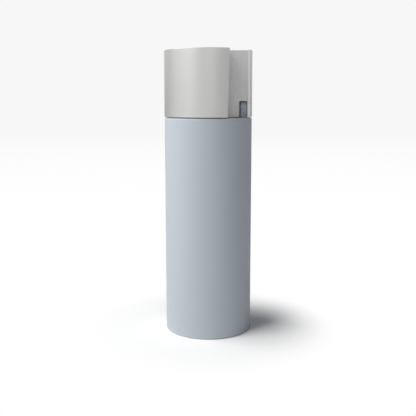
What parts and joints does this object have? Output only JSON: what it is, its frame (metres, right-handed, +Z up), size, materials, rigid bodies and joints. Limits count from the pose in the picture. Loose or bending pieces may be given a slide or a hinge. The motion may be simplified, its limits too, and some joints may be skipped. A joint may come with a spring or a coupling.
{
  "type": "blind cord weight",
  "caption": "Cylindrical weight for the pull cords of a window blind: grey moulded body with a steel slug, and a silver cap with a cord hole and a stepped corner.",
  "frame": {"origin": "centre of the base, on the surface that the weight stands on", "axes": "+Z up along the weight's axis; the cap's stepped corner is at the front right, towards -Y and +X"},
  "size_m": [0.028, 0.028, 0.0902],
  "materials": {
    "body_grey": "satin moulded, pale blue-grey",
    "steel": "cut bar, plain",
    "core_silver": "moulded, satin silver",
    "sleeve_silver": "satin anodised silver"
  },
  "bodies": {
    "root": {"body_shell": "body_grey", "base_disc": "body_grey", "ballast_slug": "steel", "cap_core": "core_silver", "cap_sleeve": "sleeve_silver"}
  },
  "joints": []
}
